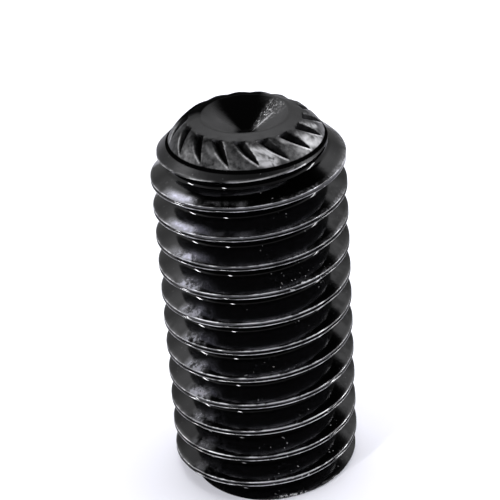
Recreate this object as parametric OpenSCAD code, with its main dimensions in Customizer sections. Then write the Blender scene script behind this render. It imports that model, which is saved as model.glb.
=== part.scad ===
// Metric socket set screw with a knurled cup point, in millimetres.
// It stands on its socket end with the cup up, and the Z axis is the axis of the screw.
// One piece of steel wire is headed, gets its socket and its knurled point in the same
// press, and is then rolled between flat dies, which leaves a right-hand thread.

/* [Thread] */
// Nominal diameter of the thread
nominal_d = 5; // [4.8:0.1:6]
// How far the crests of the rolled thread lie below the nominal diameter
crest_allowance = 0.14; // [0.04:0.02:0.18]
// Distance from one crest to the next
pitch = 0.8; // [0.5:0.05:0.9]
// Angle between the two flanks of the groove
flank_angle = 60; // [55:1:65]
// Width of the flat that is left on each crest
crest_flat = 0.12; // [0.06:0.01:0.18]
// Radius at the bottom of the groove
root_radius = 0.11; // [0.06:0.01:0.14]
// Direction, seen from above, in which a crest runs into the plane of the socket end
crest_direction = 335; // [0:1:359]
// Straight steps in one turn of the thread
turn_steps = 48; // [36:4:60]

/* [Screw] */
// Overall length, from the socket end to the ridge round the cup
length = 10; // [7:0.5:20]
// Width and height of the chamfer round the socket end
end_chamfer = 0.18; // [0.1:0.02:0.4]
// Slope of the chamfer at the point end, measured from the axis
point_chamfer_angle = 45; // [40:1:50]

/* [Socket] */
// Hexagon socket across its flats
socket_flats = 2.52; // [2:0.02:2.8]
// Depth of the full hexagon
socket_depth = 3.6; // [2:0.1:4.5]
// Included angle of the cone that the punch leaves at the bottom
socket_cone_angle = 120; // [100:5:140]
// Diameter of the countersink at the mouth of the socket
countersink_d = 3.1; // [3.02:0.02:3.4]
// Included angle of the countersink
countersink_angle = 90; // [80:5:120]

/* [Cup point] */
// Diameter of the ridge that bites into the shaft
ridge_d = 2.26; // [2.1:0.02:2.5]
// Radius of the rounded ridge
ridge_radius = 0.14; // [0.08:0.02:0.2]
// Slope of the land outside the ridge, where it leaves the ridge
land_slope = 16; // [10:1:22]
// How far the land bulges out between the ridge and the knurl
land_bulge = 0.008; // [0.002:0.002:0.012]
// Included angle of the cup
cup_angle = 120; // [110:2:130]
// Radius at the bottom of the cup
cup_bottom_radius = 0.4; // [0.1:0.05:0.5]

/* [Knurl] */
// Number of slanted grooves
groove_count = 16; // [12:1:20]
// Diameter of the edge between the land and the knurled flank
knurl_top_d = 2.85; // [2.75:0.05:3]
// How far that edge lies below the ridge
knurl_drop = 0.115; // [0.1:0.005:0.14]
// Height of the knurled flank
knurl_height = 0.5; // [0.4:0.01:0.6]
// How far the flank bulges out beyond a straight cone
knurl_bulge = 0.06; // [0.02:0.01:0.1]
// How far the foot of the knurl lies inside the bottom of the thread groove
foot_inset = 0.02; // [0.01:0.01:0.06]
// Radius of the line rolled in round the foot of the knurl
foot_line_radius = 0.03; // [0.02:0.01:0.05]
// Turn of a groove about the axis, from its upper to its lower end
groove_twist = 14; // [8:0.5:20]
// Depth of a groove at its upper end
groove_top_depth = 0.13; // [0.06:0.01:0.16]
// Depth of a groove at its lower end
groove_foot_depth = 0.03; // [0.01:0.01:0.05]
// Height of the lower end of a groove, as a share of the height of the flank
groove_foot_share = 0.2; // [0.1:0.05:0.4]
// Included angle of a groove
groove_angle = 84; // [60:2:90]
// Direction, seen from above, of the upper end of the first groove
groove_direction = 263; // [0:1:359]

/* [Hidden] */
$fn = 96;

// Amount by which a cutting shape runs past the surface that it cuts
cut_over = 0.3;
// Straight steps in each rounded stretch of the blank's outline
arc_steps = 8;

crest_r = (nominal_d - crest_allowance) / 2;
half_flank = flank_angle / 2;
sharp_depth = (pitch - crest_flat) / 2 / tan(half_flank);
thread_depth = sharp_depth - root_radius * (1 / sin(half_flank) - 1);
root_r = crest_r - thread_depth;

ridge_centre = [ridge_d / 2, length - ridge_radius];
ridge_edge = ridge_centre + ridge_radius * [sin(land_slope), cos(land_slope)];
knurl_top_r = knurl_top_d / 2;
knurl_top_z = length - knurl_drop;
knurl_foot_r = root_r - foot_inset;
knurl_foot_z = knurl_top_z - knurl_height;

cup_slope = 90 - cup_angle / 2;
cup_edge = ridge_centre + ridge_radius * [-sin(cup_slope), cos(cup_slope)];
cup_apex_z = cup_edge[1] - cup_edge[0] * tan(cup_slope);
cup_bottom_centre = [0, cup_apex_z + cup_bottom_radius / cos(cup_slope)];

// Points of an arc in the plane of the outline, from one angle to another
function arc(centre, radius, from, to) =
    [for (i = [0:arc_steps])
        let (a = from + (to - from) * i / arc_steps)
        centre + radius * [cos(a), sin(a)]];

// Arc through two points that stands out by a given height beyond their chord
function bulged(from, to, height) =
    let (
        chord = norm(to - from),
        radius = (chord * chord / 4 + height * height) / 2 / height,
        along = (to - from) / chord,
        outward = [along[1], -along[0]],
        centre = (from + to) / 2 - (radius - height) * outward,
        half = asin(chord / 2 / radius),
        middle = atan2(outward[1], outward[0])
    )
    arc(centre, radius, middle - half, middle + half);

// Half outline of the blank, from the socket end over the knurled flank into the cup
blank_outline = concat(
    [
        [0, 0],
        [crest_r - end_chamfer, 0],
        [crest_r + cut_over, end_chamfer + cut_over],
        [crest_r + cut_over,
            knurl_foot_z - (crest_r + cut_over - root_r) / tan(point_chamfer_angle)],
        [root_r, knurl_foot_z]
    ],
    bulged([knurl_foot_r, knurl_foot_z], [knurl_top_r, knurl_top_z], knurl_bulge),
    bulged([knurl_top_r, knurl_top_z], ridge_edge, land_bulge),
    arc(ridge_centre, ridge_radius, 90 - land_slope, 90 + cup_slope),
    arc(cup_bottom_centre, cup_bottom_radius, cup_slope - 90, -90)
);

// Solid of revolution that the thread, the socket and the knurl are worked into
module blank() {
    rotate_extrude()
        difference() {
            polygon(blank_outline);
            translate([knurl_foot_r, knurl_foot_z])
                circle(r = foot_line_radius);
        }
}

// Section of the thread over one pitch, as radius and height: crest, then the root arc
root_centre = [root_r + root_radius, pitch / 2];
root_half_arc = 90 - half_flank;
thread_section = concat(
    [[crest_r, -crest_flat / 2], [crest_r, crest_flat / 2]],
    [for (a = [-root_half_arc, 0, root_half_arc])
        root_centre + root_radius * [-cos(a), sin(a)]]
);

// Threaded bar, longer than the screw at both ends: its section is carried up the helix,
// and the last point of a section is the first point of the section one turn later
module threaded_bar() {
    points_per_section = len(thread_section);
    turns_below = 2;
    turns = turns_below + ceil(length / pitch) + 1;
    sections = turns * turn_steps;
    bottom = -turns_below * pitch;

    function helix_point(i, j) =
        let (a = crest_direction + 360 * i / turn_steps)
        [
            thread_section[j][0] * cos(a),
            thread_section[j][0] * sin(a),
            thread_section[j][1] + bottom + pitch * i / turn_steps
        ];
    function index(i, j) =
        j == points_per_section ? index(i + turn_steps, 0)
        : i <= sections ? i * points_per_section + j
        : (sections + 1) * points_per_section + i - sections - 1;

    helix_points = concat(
        [for (i = [0:sections]) for (j = [0:points_per_section - 1]) helix_point(i, j)],
        [for (i = [sections + 1:sections + turn_steps]) helix_point(i, 0)]
    );
    axis_bottom = len(helix_points);
    axis_top = axis_bottom + 1;

    side_faces = [
        for (i = [0:sections - 1]) for (j = [0:points_per_section - 1])
            let (
                a = index(i, j),
                b = index(i + 1, j),
                c = index(i + 1, j + 1),
                d = index(i, j + 1)
            )
            each [[a, d, c], [a, c, b]]
    ];
    end_faces = concat(
        [for (i = [0:turn_steps - 1]) [axis_bottom, index(i, 0), index(i + 1, 0)]],
        [for (j = [0:points_per_section - 1]) [axis_bottom, index(0, j + 1), index(0, j)]],
        [for (i = [sections - turn_steps:sections - 1])
            [axis_top, index(i + 1, points_per_section), index(i, points_per_section)]],
        [for (j = [0:points_per_section - 1])
            [axis_top, index(sections, j), index(sections, j + 1)]]
    );
    polyhedron(
        concat(helix_points, [[0, 0, bottom], [0, 0, bottom + (turns + 1) * pitch]]),
        concat(side_faces, end_faces)
    );
}

// Hexagon socket in the lower end, with the cone of the punch and a countersunk mouth
module socket() {
    flats_r = socket_flats / 2;
    translate([0, 0, -cut_over])
        cylinder(h = socket_depth + cut_over, r = flats_r / cos(30), $fn = 6);
    translate([0, 0, socket_depth])
        cylinder(h = flats_r / tan(socket_cone_angle / 2), r1 = flats_r, r2 = 0);
    countersink_h = countersink_d / 2 / tan(countersink_angle / 2);
    over_scale = (countersink_h + cut_over) / countersink_h;
    translate([0, 0, -cut_over])
        cylinder(h = countersink_h + cut_over, r1 = countersink_d / 2 * over_scale, r2 = 0);
}

// Point on or below the bulged flank, by its height up the flank and its depth
function flank_point(share, depth, turn) =
    let (
        foot = [knurl_foot_r, knurl_foot_z],
        top = [knurl_top_r, knurl_top_z],
        along = (top - foot) / norm(top - foot),
        swell = knurl_bulge * (1 - (2 * share - 1) * (2 * share - 1)),
        p = foot + share * (top - foot) + (swell - depth) * [along[1], -along[0]]
    )
    [p[0] * cos(turn), p[0] * sin(turn), p[1]];

// One straight V groove, pressed slantwise into the bulged flank, so that it nearly runs
// out at its foot and ends in a step at the edge of the land
module knurl_groove() {
    top = flank_point(1, groove_top_depth, 0);
    foot = flank_point(groove_foot_share, groove_foot_depth, groove_twist);
    z_axis = (foot - top) / norm(foot - top);
    outward = flank_point(0.5, -1, groove_twist / 2) - flank_point(0.5, 0, groove_twist / 2);
    x_raw = cross(outward, z_axis);
    x_axis = x_raw / norm(x_raw);
    y_axis = cross(z_axis, x_axis);
    groove_w = cut_over * tan(groove_angle / 2);
    multmatrix([
        [x_axis[0], y_axis[0], z_axis[0], top[0]],
        [x_axis[1], y_axis[1], z_axis[1], top[1]],
        [x_axis[2], y_axis[2], z_axis[2], top[2]],
        [0, 0, 0, 1]
    ])
        linear_extrude(height = norm(foot - top))
            polygon([[0, 0], [groove_w, cut_over], [-groove_w, cut_over]]);
}

module set_screw() {
    color([0.13, 0.13, 0.14])
        difference() {
            intersection() {
                threaded_bar();
                blank();
            }
            socket();
            for (i = [0:groove_count - 1])
                rotate([0, 0, groove_direction + 360 * i / groove_count])
                    knurl_groove();
        }
}

set_screw();
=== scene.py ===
"""Looks of a black steel set screw with a knurled cup point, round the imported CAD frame.

The screw stands on its socket end on a white table. Lengths are in millimetres, apart from
those of the table and the lamps, which are in metres, and each mesh is written in metres.
"""

import math

import bpy
import numpy as np
from mathutils import Matrix, Vector


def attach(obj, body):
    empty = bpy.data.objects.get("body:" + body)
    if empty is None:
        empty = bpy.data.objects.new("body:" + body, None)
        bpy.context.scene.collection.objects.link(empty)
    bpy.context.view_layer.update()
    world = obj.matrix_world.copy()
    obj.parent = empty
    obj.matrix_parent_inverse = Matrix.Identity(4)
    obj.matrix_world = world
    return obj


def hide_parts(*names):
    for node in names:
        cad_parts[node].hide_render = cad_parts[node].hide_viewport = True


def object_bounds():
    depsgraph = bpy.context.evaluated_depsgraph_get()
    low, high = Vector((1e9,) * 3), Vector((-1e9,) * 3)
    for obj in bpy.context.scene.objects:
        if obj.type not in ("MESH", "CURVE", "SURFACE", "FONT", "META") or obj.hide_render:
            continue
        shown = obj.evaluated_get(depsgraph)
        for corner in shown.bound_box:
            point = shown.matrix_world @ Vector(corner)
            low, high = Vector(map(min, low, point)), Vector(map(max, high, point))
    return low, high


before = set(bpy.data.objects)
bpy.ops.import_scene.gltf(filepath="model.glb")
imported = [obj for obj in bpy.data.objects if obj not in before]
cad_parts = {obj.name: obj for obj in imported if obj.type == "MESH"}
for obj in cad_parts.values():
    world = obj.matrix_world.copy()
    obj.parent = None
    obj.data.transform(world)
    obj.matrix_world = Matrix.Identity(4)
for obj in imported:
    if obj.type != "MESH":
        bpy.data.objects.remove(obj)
cad_low, cad_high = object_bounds()

# The shank: one length of steel wire, rolled between flat dies that push a right-hand
# thread up out of it. The metal that flows up from both flanks leaves two rounded lips
# with a crevice between them along the crest, and both ends are chamfered.
MM = 0.001
length = (cad_high.z - cad_low.z) / MM
pitch = 0.8
solid_crest_r = 2.43
# The crests of the skin lie just inside those of the solid.
crest_r = 2.4265
crest_flat = 0.12
crest_blend = 0.016
half_flank = math.radians(30)
root_radius = 0.11
crest_direction = 335.0
end_chamfer = 0.18
chamfer_blend = 0.03
lip_place = 0.056
lip_half_width = 0.034
lip_sway = 0.004
crevice_depth = 0.045
crevice_change = 0.45
crevice_end = 0.1
crevice_fade = 0.15
knurl_drop = 0.115
knurl_height = 0.5
sharp_depth = (pitch - crest_flat) / 2 / math.tan(half_flank)
root_r = solid_crest_r - sharp_depth + root_radius * (1 / math.sin(half_flank) - 1)
root_half_width = root_radius * math.cos(half_flank)
foot_z = length - knurl_drop - knurl_height
# On the cone at the point, the radius and the height add up to this.
cone_sum = root_r + foot_z


def rounded_min(a, b, blend):
    """The smaller of a and b, with the corner where they cross rounded off over blend."""
    h = np.clip(0.5 + 0.5 * (b - a) / blend, 0, 1)
    return b + (a - b) * h - blend * h * (1 - h)


def thread_radius(x, opening):
    """Radius of the thread at the height x above the middle of a crest, for x up to half a
    pitch: two round lips with a crevice between them, a straight flank, and an arc at the
    bottom. opening scales the depth of the crevice."""
    x = np.abs(x)
    flank = crest_r - (x - crest_flat / 2) / math.tan(half_flank)
    outside = rounded_min(flank, np.full_like(flank, crest_r), crest_blend)
    lip = np.clip(1 - np.abs(x - lip_place) / lip_half_width, 0, 1)
    fold = crevice_depth * opening * (1 - np.sqrt(1 - (1 - lip) ** 2))
    outside = outside - np.where(x < lip_place, fold, 0)
    from_root = np.minimum(pitch / 2 - x, root_half_width)
    arc = root_r + root_radius - np.sqrt(root_radius**2 - from_root**2)
    return np.where(pitch / 2 - x < root_half_width, arc, outside)


def waves(turn, seeds):
    """A slow wander along the helix, from -1 to 1: a sum of sines of the angle turn, in
    degrees, whose frequencies, phases and shares are the seeds."""
    a = np.radians(turn)
    total = sum(np.sin(f * a + p) * w for f, p, w in seeds)
    return total / sum(w for _, _, w in seeds)


crevice_seeds = [(0.71, 0.3, 1.0), (2.9, 1.9, 0.8), (7.3, 4.0, 0.7), (13.1, 0.8, 0.6)]
lean_seeds = [(0.43, 1.3, 1.0), (1.9, 0.2, 0.7), (5.3, 3.0, 0.5), (17.3, 2.2, 0.35)]


def uncut_radius(turn, z):
    """Radius of the thread at the angle turn, in degrees, and the height z, if it ran on
    past both ends. Its crevice closes on the last stretch below the cone."""
    x = np.mod(z - pitch * (turn - crest_direction) / 360 + pitch / 2, pitch) - pitch / 2
    along_wire = z / pitch * 360 - x / pitch * 360
    opening = 1 + crevice_change * waves(along_wire, crevice_seeds)
    below_cone = cone_sum - z + x - crest_r
    opening = opening * np.clip((below_cone - crevice_end) / crevice_fade, 0, 1)
    return thread_radius(x + lip_sway * waves(along_wire, lean_seeds), opening)


def shank_radius(turn, z):
    """Radius of the outside at the angle turn, in degrees, and the height z: the thread,
    cut off by a cone of 45 degrees at each end, with rounded corners."""
    base_cone = solid_crest_r - end_chamfer + z
    r = rounded_min(uncut_radius(turn, z), base_cone, chamfer_blend)
    return rounded_min(r, cone_sum - z, chamfer_blend)


# The skin of the shank is a strip one pitch high that winds up the helix. Its rows, given
# here by their height above the middle of a crest, lie closest together on the lips.
turn_columns = 144
crest_rows = np.array([0.0, 0.012, 0.023, 0.031, 0.039, 0.047, 0.055, 0.062, 0.069, 0.078])
flank_rows = np.linspace(crest_rows[-1], pitch / 2 - root_half_width, 8)[1:]
root_rows = pitch / 2 - root_radius * np.sin(np.linspace(math.pi / 3, 0, 4))[1:]
half_rows = np.concatenate([crest_rows, flank_rows, root_rows])
rows = np.concatenate([-half_rows[:0:-1], half_rows])

turns = math.ceil((foot_z + 1.5 * pitch) / pitch) + 1
strip_column = np.arange(turns * turn_columns + 1)
strip_angle = 360.0 * strip_column / turn_columns
z = pitch * (strip_angle[:, None] - crest_direction) / 360 - pitch + rows[None, :]
r = shank_radius(strip_angle[:, None], z)

ring_angle = 360.0 * np.arange(turn_columns) / turn_columns
base_ring_r = shank_radius(ring_angle, np.zeros(turn_columns))
foot_ring_r = shank_radius(ring_angle, np.full(turn_columns, foot_z))


def cylindrical(radius, angle, height):
    """Points from radius, angle in degrees and height."""
    a = np.radians(angle)
    radius, a, height = np.broadcast_arrays(radius, a, height)
    return np.stack([radius * np.cos(a), radius * np.sin(a), height], axis=-1)


def grid_faces(index):
    """Two triangles for each cell of a grid of vertex numbers. The first axis runs round
    the screw and the second up it, and cells that have shrunk to an edge are left out."""
    a, b = index[:-1, :-1].ravel(), index[1:, :-1].ravel()
    c, d = index[1:, 1:].ravel(), index[:-1, 1:].ravel()
    both = np.concatenate([np.stack([a, b, c], 1), np.stack([a, c, d], 1)])
    first, second, third = both.T
    return both[(first != second) & (second != third) & (third != first)]


# Where the strip passes the base or the foot of the knurl, it shrinks to that ring, and
# the last row of a turn is the first row of the next one.
points = [
    cylindrical(base_ring_r, ring_angle, 0.0),
    cylindrical(foot_ring_r, ring_angle, foot_z),
    cylindrical(r, strip_angle[:, None], z).reshape(-1, 3),
]
column = np.broadcast_to((strip_column % turn_columns)[:, None], z.shape)
strip = np.arange(z.size).reshape(z.shape) + 2 * turn_columns
strip = np.where(z <= 0, column, np.where(z >= foot_z, column + turn_columns, strip))
strip[:-turn_columns, -1] = strip[turn_columns:, 0]
faces = [grid_faces(strip)]
count = 2 * turn_columns + z.size

# Five marks tell the finish about each point, from 0 to 1 or somewhat more: dull where it
# is punched or pressed, crest beside a crest, the shade mark where shade is painted dark into
# recesses, rubbed on lips and edges, and the glint mark where highlights are painted on
# teeth. Above 1 the shade mark paints the surface black, as painted shade.
shank = slice(2 * turn_columns, count)
# Painted shade for the shade mark: the root, darker still on the lowest turns, the underside of
# the thread, and a line on the cone at the foot of the point.
on_cone = np.exp(-(((r + z - cone_sum) / 0.02) ** 2))
beside_crest = np.exp(-((rows / 0.2) ** 4)) - np.exp(-((rows / 0.07) ** 4))
in_root = np.clip((root_r + 0.08 - r) / 0.03, 0, 1)
in_root = in_root * (1 + 0.5 * np.clip((2.3 - z) / 0.4, 0, 1))
under = np.clip((-rows - 0.08) / 0.04, 0, 1)
on_lip = np.exp(-(((np.abs(rows) - 0.058) / 0.014) ** 2)) * (r > crest_r - 0.05)
past_cone = uncut_radius(strip_angle[:, None], z) + z - cone_sum
on_edge = np.exp(-((past_cone / 0.055) ** 2)) * (z > foot_z - 0.6) * (r > root_r + 0.1)
marks = [
    (
        shank,
        {
            "dull": on_cone,
            "crest": np.broadcast_to(beside_crest, z.shape),
            "painted_shade": np.maximum(np.maximum(in_root, under), 1.15 * on_cone),
            "rubbed": on_lip + 0.9 * on_edge,
        },
    )
]

# The socket end: a flat ring, a countersunk mouth and the hexagon that the punch leaves,
# with a cone at its bottom, which starts a hair inside the hexagon's flats.
socket_flats = 2.52
socket_depth = 3.6
countersink_r = 1.55
hexagon_angle = np.mod(ring_angle + 30, 60) - 30
hexagon_r = socket_flats / 2 / np.cos(np.radians(30 - np.abs(hexagon_angle)))
cone_r = np.full(turn_columns, socket_flats / 2)
cone_drop = 1 / math.tan(math.radians(60))
end_profile = [
    ((countersink_r + base_ring_r) / 2, 0.0),
    (np.full(turn_columns, countersink_r), 0.0),
    ((countersink_r + hexagon_r) / 2, (countersink_r - hexagon_r) / 2),
    (hexagon_r, countersink_r - hexagon_r),
    (hexagon_r, socket_depth / 2),
    (hexagon_r, socket_depth),
    (cone_r * 0.995, socket_depth),
    (cone_r / 2, socket_depth + cone_r / 2 * cone_drop),
]
base_column = np.arange(turn_columns)
ring_above = base_column
for ring_r, ring_z in end_profile:
    points.append(cylindrical(ring_r, ring_angle, ring_z))
    ring = count + base_column
    pair = np.stack([ring, ring_above], 1)
    faces.append(grid_faces(np.concatenate([pair, pair[:1]])))
    ring_above = ring
    count += turn_columns
points.append(np.array([[0, 0, socket_depth + socket_flats / 2 * cone_drop]]))
pair = np.stack([np.full(turn_columns, count), ring_above], 1)
faces.append(grid_faces(np.concatenate([pair, pair[:1]])))
count += 1
socket_end = slice(shank.stop, count)
marks.append((socket_end, {"dull": 0.6}))

# The cup point: the press leaves a cup of 120 degrees with a ridge round it, a sloping
# land, and sixteen slanted grooves in the flank outside it, whose metal swells up.
ridge_r = 1.13
ridge_radius = 0.14
land_slope = math.radians(16)
land_bulge = 0.008
cup_slope = math.radians(30)
cup_bottom_radius = 0.4
knurl_top = np.array([1.425, length - knurl_drop])
knurl_foot = np.array([root_r - 0.02, foot_z])
knurl_bulge = 0.06
groove_count = 16
groove_twist = 14
groove_foot_share = 0.2
groove_direction = 263.0
groove_top_depth = 0.13
groove_foot_depth = 0.03
half_groove = math.radians(42)
swell_height = 0.032
swell_reach = 0.22
land_fade = 2.2
column_squeeze = 1.4


def bulged(start, end, height, share):
    """An arc from start to end that stands out by height beyond their chord, as radius
    and height above the table, at the given shares of its angle."""
    chord = np.linalg.norm(end - start)
    along = (end - start) / chord
    outward = np.array([along[1], -along[0]])
    radius = (chord**2 / 4 + height**2) / 2 / height
    a = math.asin(chord / 2 / radius) * (2 * share - 1)
    middle = (start + end) / 2 - (radius - height) * outward
    return middle + radius * (np.sin(a)[:, None] * along + np.cos(a)[:, None] * outward)


ridge_centre = np.array([ridge_r, length - ridge_radius])
land_direction = np.array([math.sin(land_slope), math.cos(land_slope)])
ridge_edge = ridge_centre + ridge_radius * land_direction
over = np.linspace(land_slope, -cup_slope, 11)[1:]
ridge = ridge_centre + ridge_radius * np.stack([np.sin(over), np.cos(over)], 1)
cup_share = np.linspace(0, 1, 8)[1:, None]
cup_tip = np.array([0, ridge[-1, 1] - ridge[-1, 0] * math.tan(cup_slope)])
ball_edge_r = cup_bottom_radius * math.sin(cup_slope)
ball_edge = cup_tip + ball_edge_r * np.array([1, math.tan(cup_slope)])
cup_wall = ridge[-1] + cup_share * (ball_edge - ridge[-1])
ball = np.linspace(cup_slope, 0, 6)[1:-1]
ball_z = cup_tip[1] + cup_bottom_radius / math.cos(cup_slope)
cup_bottom = np.stack([np.sin(ball), -np.cos(ball)], 1) * cup_bottom_radius + [0, ball_z]
flank_share = np.linspace(0.0, 1.0, 20)
profile = np.concatenate(
    [
        bulged(knurl_foot, knurl_top, knurl_bulge, flank_share),
        bulged(knurl_top, ridge_edge, land_bulge, np.linspace(0, 1, 8))[1:],
        ridge,
        cup_wall,
        cup_bottom,
    ]
)
rows_total = len(profile)
flank_rows_total = len(flank_share)
share = np.concatenate([flank_share, np.ones(rows_total - flank_rows_total)])
past_flank = np.maximum(np.arange(rows_total) - flank_rows_total + 1, 0)

# The columns follow the grooves, and above the foot they crowd together towards them.
point_columns = 3 * turn_columns
tooth = 360.0 / groove_count
columns_per_tooth = point_columns // groove_count
half_tooth = columns_per_tooth // 2
full_twist = groove_twist / (1 - groove_foot_share)
foot_column = round((groove_direction + full_twist) / 360 * point_columns)
point_column = np.arange(point_columns)
from_groove = np.mod(point_column - foot_column + half_tooth, columns_per_tooth)
from_groove = (from_groove - half_tooth) / columns_per_tooth
squeezed = np.sign(from_groove) * 0.5 * np.abs(2 * from_groove) ** column_squeeze
pull = np.clip(share / 0.2, 0, 1)
pull = pull * pull * (3 - 2 * pull)
angle = (
    360.0 * point_column[:, None] / point_columns
    - full_twist * share[None, :]
    + tooth * (squeezed - from_groove)[:, None] * pull[None, :]
)

# Depth of the groove at each point: a V whose bottom runs straight from its upper to its
# lower end, below a flank that bulges out over it.
foot_depth = groove_foot_depth - knurl_bulge * (1 - (2 * groove_foot_share - 1) ** 2)
up_groove = (share - groove_foot_share) / (1 - groove_foot_share)
depth = foot_depth + (groove_top_depth - foot_depth) * up_groove
depth = depth + knurl_bulge * (1 - (2 * share - 1) ** 2)
depth = np.maximum(depth, 0) * np.clip((share - 0.1) / 0.12, 0, 1) * (past_flank == 0)
chord = np.linalg.norm(knurl_top - knurl_foot)
middle_r = profile[flank_rows_total // 2, 0]
slant = math.cos(math.atan2(middle_r * math.radians(full_twist), chord))
across = np.radians(tooth * squeezed)[:, None] * profile[None, :, 0] * slant
cut = np.maximum(depth[None, :] - np.abs(across) / math.tan(half_groove), 0)

# The metal that the grooves push aside swells up between them, most at the upper edge,
# and sinks away faster over the land than down the flank.
half_width = depth * math.tan(half_groove)
half_gap = np.radians(tooth) * profile[:, 0] * slant / 2
on_tooth = np.clip((np.abs(across) - half_width) / (half_gap - half_width), 0, 1)
from_edge = np.linalg.norm(profile - knurl_top, axis=1)
from_edge = from_edge * np.where(past_flank > 0, land_fade, 1.0)
swell = swell_height * np.sin(math.pi / 2 * on_tooth)
raised = swell * np.exp(-((from_edge / swell_reach) ** 2)) - cut

step = np.gradient(profile, axis=0)
step = step / np.linalg.norm(step, axis=1)[:, None]
normal = np.stack([step[:, 1], -step[:, 0]], 1)
point_r = profile[None, :, 0] + raised * normal[None, :, 0]
point_z = profile[None, :, 1] + raised * normal[None, :, 1]

# The foot has three columns for each one of the shank, joined by a ring of slivers.
between_r = np.stack([foot_ring_r, np.roll(foot_ring_r, -1)], 1) @ np.array([[2, 1], [1, 2]]) / 3
between_angle = ring_angle[:, None] + 360.0 / point_columns * np.array([1, 2])
points.append(cylindrical(between_r, between_angle, foot_z).reshape(-1, 3))
shank_ring = turn_columns + base_column
first_between = count + 2 * base_column
foot_ring = np.stack([shank_ring, first_between, first_between + 1], 1).ravel()
faces.append(np.stack([shank_ring, np.roll(shank_ring, -1), first_between + 1], 1))
faces.append(np.stack([shank_ring, first_between + 1, first_between], 1))
count += 2 * turn_columns
marks.append((slice(socket_end.stop, count), {"dull": 1.0}))

grid = count + np.arange(point_columns * rows_total).reshape(point_columns, rows_total)
points.append(cylindrical(point_r, angle, point_z).reshape(-1, 3))
cup_point = slice(count, count + point_columns * rows_total)
count = cup_point.stop
points.append(np.array([[0, 0, ball_z - cup_bottom_radius]]))
grid = np.concatenate([foot_ring[:, None], grid, np.full((point_columns, 1), count)], 1)
faces.append(grid_faces(np.concatenate([grid, grid[:1]])))

# Painted shade on the point: the grooves are painted dark, most on one wall, and so are the
# far rim, the rear wall and the floor of the cup.
full_shade = 1.6
a = np.radians(angle)
in_groove = np.clip(np.maximum(cut, np.roll(cut, 1, axis=1)) / 0.01, 0, 1)
in_groove = 1.5 * in_groove * np.clip((across + half_width * 0.6) / 0.03, 0.45, 1)
far_rim = np.clip((np.cos(a - math.radians(118)) - 0.35) / 0.3, 0, 1) * (share > 0.5)
far_rim = far_rim * np.clip((20 - past_flank) / 6.0, 0, 1)
black_wall = np.clip((61 - np.abs(np.mod(angle + 83, 360) - 180)) / 34.0, 0, 1)
black_wall = black_wall * np.clip((past_flank - 11) / 5.0, 0, 1)
cup_floor = np.clip((0.27 - point_r) / 0.08, 0, 1)
point_shade = np.maximum(np.maximum(far_rim, black_wall), cup_floor)
point_shade = np.maximum(in_groove, full_shade * point_shade)

# The far side of the cup is glossier than the land, and its near side duller.
far_side = np.clip((np.sin(a) - 0.3) / 0.3, 0, 1)
in_cup = np.clip((past_flank - 15) / 4.0, 0, 1) * (1.7 * far_side - 0.9)

# Painted highlights on some teeth: pale patches that stand for a lamp's image in them. Each is
# a blot round a place in the tooth, from 0 to 1 to the right and from 0 to 1 up, with two
# half-widths.
turned = np.mod(angle + full_twist * share - groove_direction - full_twist, 360) / tooth
tooth_number = np.floor(turned)
place_across = turned - tooth_number
tooth_glint = np.zeros(angle.shape)
for number, right, up, wide, high, strength in (
    (0, 0.35, 0.45, 0.5, 0.5, 1.3),
    (1, 0.7, 0.8, 0.25, 0.2, 0.6),
    (2, 0.5, 0.3, 0.45, 0.4, 0.4),
    (3, 0.4, 0.6, 0.2, 0.2, 0.7),
    (14, 0.7, 0.65, 0.3, 0.3, 0.3),
):
    gone = ((place_across - right) / wide) ** 2 + ((share - up) / high) ** 2
    blot = (tooth_number == number) * (past_flank < 2) * np.clip(1.5 * (1 - gone), 0, 1)
    tooth_glint = tooth_glint + strength * blot

# The lower edge of each groove carries a burr, which is rubbed bare below mid-height.
burr = np.exp(-(((across + half_width + 0.018) / 0.022) ** 2))
burr = burr * np.clip((0.75 - share) / 0.3, 0, 1) * np.clip((share - 0.08) / 0.1, 0, 1)
burr = burr * np.clip(2.4 - 2.4 * np.sin(a - 0.4), 0, 2.1)
marks.append(
    (cup_point, {"dull": 1 - in_cup, "rubbed": burr, "painted_shade": point_shade, "tooth_glint": tooth_glint * (cut <= 0)})
)

# The three stretches make one closed skin. The strip's points past the ends are dropped.
points = np.concatenate(points) * MM
used, faces = np.unique(np.concatenate(faces), return_inverse=True)
faces = faces.reshape(-1, 3)
mesh = bpy.data.meshes.new("set_screw_skin")
mesh.vertices.add(len(used))
mesh.vertices.foreach_set("co", points[used].ravel())
mesh.loops.add(faces.size)
mesh.loops.foreach_set("vertex_index", faces.ravel())
mesh.polygons.add(len(faces))
mesh.polygons.foreach_set("loop_start", np.arange(0, faces.size, 3))
for name in ("dull", "crest", "rubbed", "painted_shade", "tooth_glint"):
    values = np.zeros(len(points))
    for where, marked in marks:
        values[where] = np.ravel(marked.get(name, 0.0))
    layer = mesh.attributes.new(name, "FLOAT", "POINT")
    layer.data.foreach_set("value", values[used])
mesh.update(calc_edges=True)
mesh.polygons.foreach_set("use_smooth", np.ones(len(faces), bool))
mesh.set_sharp_from_angle(angle=math.radians(40))
screw = bpy.data.objects.new("set_screw_skin", mesh)
bpy.context.scene.collection.objects.link(screw)
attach(screw, "root")
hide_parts("set_screw")

# The finish: black oxide, dipped in oil. It is nearly black and glossy on the rolled
# flanks, duller on the punched point, and rubbed down to grey steel in places. Shade, sheen
# and highlights are painted into its colour as well.


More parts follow.
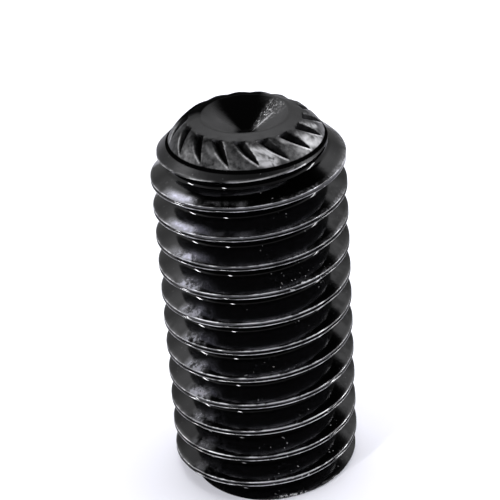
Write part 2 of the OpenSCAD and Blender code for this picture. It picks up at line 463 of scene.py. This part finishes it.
class Field:
    """A value, colour or vector in a node tree, so that shader maths reads as Python."""

    def __init__(self, tree, socket=None):
        self.tree = tree
        self.socket = socket

    def node(self, kind, output=0, settings=None, inputs=None):
        """A node of any type: its settings first, then its inputs, as values or links."""
        made = self.tree.nodes.new(kind)
        for name, value in (settings or {}).items():
            setattr(made, name, value)
        for name, value in (inputs or {}).items():
            if isinstance(value, Field):
                self.tree.links.new(value.socket, made.inputs[name])
            else:
                made.inputs[name].default_value = value
        return Field(self.tree, made.outputs[output])

    def maths(self, operation, a, b=0.0):
        return self.node("ShaderNodeMath", 0, {"operation": operation}, {0: a, 1: b})

    def __add__(self, other):
        return self.maths("ADD", self, other)

    def __sub__(self, other):
        return self.maths("SUBTRACT", self, other)

    def __mul__(self, other):
        return self.maths("MULTIPLY", self, other)

    def __truediv__(self, other):
        return self.maths("DIVIDE", self, other)

    def __rsub__(self, other):
        return self.maths("SUBTRACT", other, self)

    __radd__ = __add__
    __rmul__ = __mul__

    def larger(self, other):
        return self.maths("MAXIMUM", self, other)

    def smaller(self, other):
        return self.maths("MINIMUM", self, other)

    def between(self, low, high):
        """0 at low and 1 at high, with a smooth step from one to the other."""
        ends = {"Value": self, "From Min": low, "From Max": high}
        if low > high:
            ends = {"Value": 0 - self, "From Min": -low, "From Max": -high}
        return self.node("ShaderNodeMapRange", 0, {"interpolation_type": "SMOOTHSTEP"}, ends)

    def part(self, axis):
        """One coordinate of a vector."""
        return self.node("ShaderNodeSeparateXYZ", axis, None, {"Vector": self})

    def into(self, node, name):
        self.tree.links.new(self.socket, node.inputs[name])


steel = bpy.data.materials.new("black_oxide_steel")
steel.use_nodes = True
shader = steel.node_tree.nodes["Principled BSDF"]
begin = Field(steel.node_tree)
place = begin.node("ShaderNodeTexCoord", "Object")
millimetres = begin.node(
    "ShaderNodeVectorMath", 0, {"operation": "SCALE"}, {0: place, "Scale": 1 / MM}
)
x_mm, y_mm, z_mm = millimetres.part("X"), millimetres.part("Y"), millimetres.part("Z")
from_axis = begin.maths("SQRT", x_mm * x_mm + y_mm * y_mm)


def mark(name):
    """One of the marks that the skin carries."""
    return begin.node("ShaderNodeAttribute", "Fac", {"attribute_name": name})


def mottle(size, detail=3.0, roughness=0.55, distortion=0.0):
    """Noise from 0 to 1 on the surface, with spots about size millimetres across."""
    return begin.node(
        "ShaderNodeTexNoise",
        "Fac",
        {"noise_dimensions": "3D"},
        {
            "Vector": millimetres,
            "Scale": 0.5 / size,
            "Detail": detail,
            "Roughness": roughness,
            "Distortion": distortion,
        },
    )


def facing(azimuth, half_angle):
    """1 on the side that faces the azimuth, from the front towards +X, fading to 0 at
    half_angle degrees from it."""
    a = math.radians(azimuth)
    cosine = (x_mm * math.sin(a) - y_mm * math.cos(a)) / from_axis
    return cosine.between(math.cos(math.radians(half_angle)), 1.0)


def under_crest(near, far):
    """1 on metal that lies less than near below the crests, fading to 0 at far."""
    return from_axis.between(crest_r - far, crest_r - near)


is_dull, near_crest, is_rubbed = mark("dull"), mark("crest"), mark("rubbed")
is_tooth_glint, is_painted_shade = mark("tooth_glint"), mark("painted_shade")
grain = mottle(0.03, 2.0)
patch = mottle(0.16, 4.0, 0.6)
broad = mottle(0.7, 2.0)
on_point = z_mm.between(foot_z - 0.01, foot_z + 0.02)
on_shank = 1 - on_point
top_turns = z_mm.between(5.6, 8.0)
in_painted_shade = is_painted_shade.smaller(1.0)

# Lips and edges are rubbed to grey steel, but are painted dark where lamps stand mirrored in
# them, as painted shade. The edge of the chamfer below the point gets a painted highlight
# towards the front, and the lips of the lower turns are painted brighter at the front, a
# painted highlight, and darker on the right, a painted shade.
lit = facing(-48, 12) + facing(49, 11) * z_mm.between(9.0, 8.8) + facing(-18, 7)
lit = lit * on_shank
edge_highlight = facing(17, 38) * z_mm.between(8.9, 9.0) * on_shank
bare_lip_and_edge_highlight = is_rubbed * (0.35 + patch.between(0.35, 0.65)) * (0.6 + grain * 0.8)
bare_lip_and_edge_highlight = bare_lip_and_edge_highlight * (1 - lit * 0.95) + is_rubbed * edge_highlight
lip_level = 0.36 + z_mm.between(8.0, 4.0) * facing(6, 62) * 0.5 - facing(90, 40) * 0.14

# Painted sheen above the lips, where the three small lamps stand mirrored: short streaks on
# the left of every turn, longer and paler ones on the turns near the point, and a frayed
# edge on the right of these.
low_sheen = facing(-45, 12) * patch.between(0.36, 0.56)
high_sheen = facing(-46, 18) * top_turns * patch.between(0.28, 0.48)
long_sheen = facing(-22, 32) * z_mm.between(7.4, 8.4) * patch.between(0.42, 0.62) * 0.35
painted_sheen = low_sheen.larger(high_sheen).larger(long_sheen * under_crest(0.1, 0.2))
painted_sheen = painted_sheen * (0.05 + mottle(0.05, 4.0, 0.7) * 1.9)
painted_sheen = painted_sheen * (1 + facing(-46, 12) * z_mm.between(5.0, 7.0) * 0.6)
frayed_sheen = facing(48, 42) * z_mm.between(5.6, 7.0) * grain.between(0.35, 0.6)
frayed_sheen = frayed_sheen * under_crest(0.04, 0.11) * patch.between(0.3, 0.6) * 0.5
painted_sheen = (painted_sheen * (0.5 + z_mm.between(1.4, 3.2) * 0.5) + frayed_sheen) * near_crest * on_shank
above_lip = top_turns * (1 - under_crest(0.13, 0.27))
painted_sheen = painted_sheen * (1 - is_dull * 0.8) * (1 - above_lip)
haze = near_crest * on_shank * broad.between(0.5, 0.75) * patch.between(0.45, 0.75)

# On the point: a bright grainy patch and a scratch in the cup, clouds on the teeth, and painted
# highlights on some teeth.
tooth_glints = is_tooth_glint * mottle(0.2, 3.0, 0.6, 0.6).between(0.34, 0.56)
# A bright grainy patch on the far right of the cup wall, and a scratch in the cup.
grainy_marks = on_point * from_axis.between(1.14, 1.0) * facing(121, 24)
grainy_marks = grainy_marks * mottle(0.035, 4.0, 0.8).between(0.5, 0.66) * (0.5 + broad)
cup_scratch = facing(115, 3.5) * from_axis.between(0.85, 0.6) * on_point
grainy_marks = grainy_marks.larger(cup_scratch * grain.between(0.3, 0.65) * 2.2)
tooth_cloud = (patch - 0.5) * 0.2 + (mottle(0.06, 3.0, 0.6) - 0.5) * 0.25
tooth_cloud = on_point * from_axis.between(1.38, 1.46) * tooth_cloud

# Upright scratches and small specks on the flanks, and nicks along the edge of the base.
upright = begin.node(
    "ShaderNodeVectorMath", 0, {"operation": "MULTIPLY"}, {0: millimetres, 1: (14.0, 14.0, 1.1)}
)
scratch = begin.node(
    "ShaderNodeTexNoise", "Fac", None, {"Vector": upright, "Scale": 1.0, "Detail": 1.0}
)
scratch = scratch.between(0.7, 0.76) * broad.between(0.4, 0.55) * on_shank
speck = mottle(0.03, 0.0).between(0.76, 0.82) * mottle(0.5, 0.0).between(0.53, 0.65)
speck = speck * facing(22, 45) * on_shank
nick = z_mm.between(0.1, 0.05) * facing(15, 14) * mottle(0.018, 1.0).between(0.5, 0.58)

# The colour is a level of grey: the oxide, darker on the left towards the base and in
# patches on the right of the shank, then the painted shade, and the bright marks with the
# painted sheen and highlights.
oxide_level = 0.056
brightest = 0.6
bright = bare_lip_and_edge_highlight * lip_level + painted_sheen * 0.3 + haze * 0.04 + tooth_glints * 0.5 + grainy_marks * 0.4
bright = bright * (1 - is_rubbed * painted_sheen * 0.5) + speck * 0.3 + nick * 0.7 + scratch * 0.07
# Painted shade: the colour is darker in the shade mark, and on rubbed lips where lamps stand
# mirrored.
dark = (1 - in_painted_shade * 0.6) * (1 - is_rubbed * lit * 0.7)
darkening = facing(-75, 50) * z_mm.between(3.5, 1.5) * 0.4
darkening = darkening + facing(78, 45) * patch.between(0.35, 0.65) * z_mm.between(9.2, 8.6) * 0.4
level = (oxide_level * (1 - darkening) + is_dull * 0.02 + tooth_cloud) * dark + bright
# Painted shade: the teeth on the left, and a few on the right of the front, are painted darker
# than the others.
shade = (facing(-52, 50) + facing(36, 14) * 0.6) * on_point * from_axis.between(1.39, 1.46)
level = (level * (1 - shade * 0.65)).smaller(brightest)
blue = level * (1.03 + painted_sheen * 0.12)
colour = begin.node("ShaderNodeCombineColor", 0, None, {0: level, 1: level, 2: blue})
colour.into(shader, "Base Color")
metal = 1 - painted_sheen * 0.55 - speck * 0.8 - nick * 0.5 - is_rubbed * edge_highlight * 0.4
metal.into(shader, "Metallic")
shader.inputs["Specular Tint"].default_value = (0.78, 0.78, 0.78, 1)

# Oil gathers in the root, so that the metal is smoothest there.
wet = in_painted_shade * on_shank
rough = (0.08 + broad * 0.04) * (1 - wet * 0.55) + is_dull * 0.33 + bright * 0.5 + painted_sheen * 0.1
rough = rough + is_rubbed * lit * 0.25
rough.into(shader, "Roughness")
height = grain * (0.15 - wet * 0.13 + is_dull * 0.5) + patch * is_dull * 1.5 + grainy_marks * 1.5
bump = begin.node(
    "ShaderNodeBump", "Normal", None, {"Height": height, "Strength": 0.5, "Distance": 0.01 * MM}
)
bump.into(shader, "Normal")

# Painted shade: where the shade mark is above 1, on the line round the foot of the knurl,
# and at the very bottom of the root, the surface is painted black.
painted_black = begin.node("ShaderNodeBsdfDiffuse", 0, None, {"Color": (0.0008, 0.0008, 0.0008, 1)})
foot_line = z_mm.between(foot_z - 0.05, foot_z - 0.03)
foot_line = foot_line * z_mm.between(foot_z + 0.045, foot_z + 0.025)
foot_line = foot_line * from_axis.between(root_r + 0.07, root_r + 0.05)
root_line = from_axis.between(root_r + 0.011, root_r + 0.006) * on_shank
root_line = root_line * from_axis.between(root_r - 0.03, root_r - 0.02)
root_line = root_line * z_mm.between(0.002, 0.01)
painted_black_share = ((is_painted_shade - 1) * 1.6).larger(foot_line.larger(root_line))
skin = begin.node("ShaderNodeMixShader", 0, None, {0: painted_black_share, 2: painted_black})
begin.tree.links.new(shader.outputs[0], skin.socket.node.inputs[1])
skin.into(begin.tree.nodes["Material Output"], "Surface")
mesh.materials.append(steel)

# The table and the light: a white table under two broad lamps, in a room whose walls are
# white at the back and sides, with three small lamps whose images stand in the oil.
table_size = 1.0
table_drop = 0.002 * MM
corners = np.array([(-1, -1), (1, -1), (1, 1), (-1, 1)]) * table_size
table_mesh = bpy.data.meshes.new("table")
table_mesh.from_pydata([(x, y, -table_drop) for x, y in corners], [], [(0, 1, 2, 3)])
table = bpy.data.objects.new("table", table_mesh)
bpy.context.scene.collection.objects.link(table)
white = bpy.data.materials.new("white_table")
white.use_nodes = True
table_mesh.materials.append(white)
tree = white.node_tree
tree.nodes.clear()
paint = Field(tree).node("ShaderNodeBsdfDiffuse", 0, None, {"Color": (0.81, 0.81, 0.88, 1)})
paint.into(tree.nodes.new("ShaderNodeOutputMaterial"), "Surface")

world = bpy.data.worlds.new("studio")
bpy.context.scene.world = world
world.use_nodes = True
tree = world.node_tree
tree.nodes.clear()
begin = Field(tree)
direction = begin.node("ShaderNodeTexCoord", "Generated")
seen = begin.node("ShaderNodeLightPath", "Is Camera Ray")
back, upward = direction.part("Y"), direction.part("Z")
aside = begin.maths("ABSOLUTE", direction.part("X"))
# Seen on the ceiling, the dark part is a chevron that opens towards the back.
height = upward.larger(0.02)
across = aside / height
along = back / height
behind = (along - across * 0.55).between(0.16, 0.24)
before = (along - across * 0.45).between(-0.48, -0.6)
beside = across.between(0.95, 1.1)
walls = behind.larger(before).larger(beside)
# The wall in front is dimmer, and so is the foot of the one at the back, whose top is lit.
front_wall = back.between(-0.1, -0.45) * 0.65
low_back = back.between(0.6, 0.85) * upward.between(0.75, 0.55) * 0.6
high_back = aside.between(0.45, 0.25) * back.between(0.0, 0.1) * upward.between(0.75, 0.85)
room = walls * (1 - front_wall) * (1 - low_back) * (1 + high_back * 0.8) * 0.985 + 0.004
level = room.larger(seen)
sky = begin.node("ShaderNodeBackground", 0, None, {"Color": (1, 1, 1, 1), "Strength": level})
sky.into(tree.nodes.new("ShaderNodeOutputWorld"), "Surface")


def lamp(name, azimuth, elevation, distance, width, tall, power):
    """An oblong lamp that faces the screw, at an azimuth from the front towards +X."""
    data = bpy.data.lights.new(name, "AREA")
    data.shape = "RECTANGLE"
    data.size = width
    data.size_y = tall
    data.energy = power
    made = bpy.data.objects.new(name, data)
    bpy.context.scene.collection.objects.link(made)
    a, e = math.radians(azimuth), math.radians(elevation)
    toward = np.array([math.sin(a) * math.cos(e), -math.cos(a) * math.cos(e), math.sin(e)])
    made.location = toward * distance + np.array([0, 0, length / 2 * MM])
    made.rotation_euler = Vector(toward).to_track_quat("Z", "Y").to_euler()
    return made


# The three small lamps, and then the two broad ones, which leave no image in the oil.
lamp("left_lamp", -97, 25, 0.5, 0.04, 0.12, 1.5)
lamp("front_lamp", -41, 27, 0.5, 0.03, 0.12, 0.9)
lamp("right_lamp", 96, 26, 0.5, 0.05, 0.3, 1.6)
lamp("overhead_lamp", 180, 80, 0.4, 0.3, 0.3, 0.88).visible_glossy = False
lamp("side_lamp", 95, 38, 0.4, 0.3, 0.3, 0.42).visible_glossy = False

# The camera: close in front of the screw and above it, looking down, as in the photograph.
camera_distance = 39.539
camera_height = 28.643
camera_pitch = math.radians(29.601)
camera_yaw = math.radians(-0.144)
camera_roll = math.radians(-3.945)
camera = bpy.data.objects.new("camera", bpy.data.cameras.new("camera"))
bpy.context.scene.collection.objects.link(camera)
camera.data.sensor_width = 36
camera.data.lens = 129.61
camera.data.clip_start = 0.001
camera.location = (0, -camera_distance * MM, camera_height * MM)
forward = np.array(
    [
        math.sin(camera_yaw) * math.cos(camera_pitch),
        math.cos(camera_yaw) * math.cos(camera_pitch),
        -math.sin(camera_pitch),
    ]
)
right = np.array([math.cos(camera_yaw), -math.sin(camera_yaw), 0])
up = np.cross(right, forward)
rolled_right = math.cos(camera_roll) * right + math.sin(camera_roll) * up
rolled_up = math.cos(camera_roll) * up - math.sin(camera_roll) * right
camera.rotation_euler = Matrix(np.stack([rolled_right, rolled_up, -forward], 1)).to_euler()
bpy.context.scene.camera = camera
bpy.context.scene.view_settings.view_transform = "Standard"
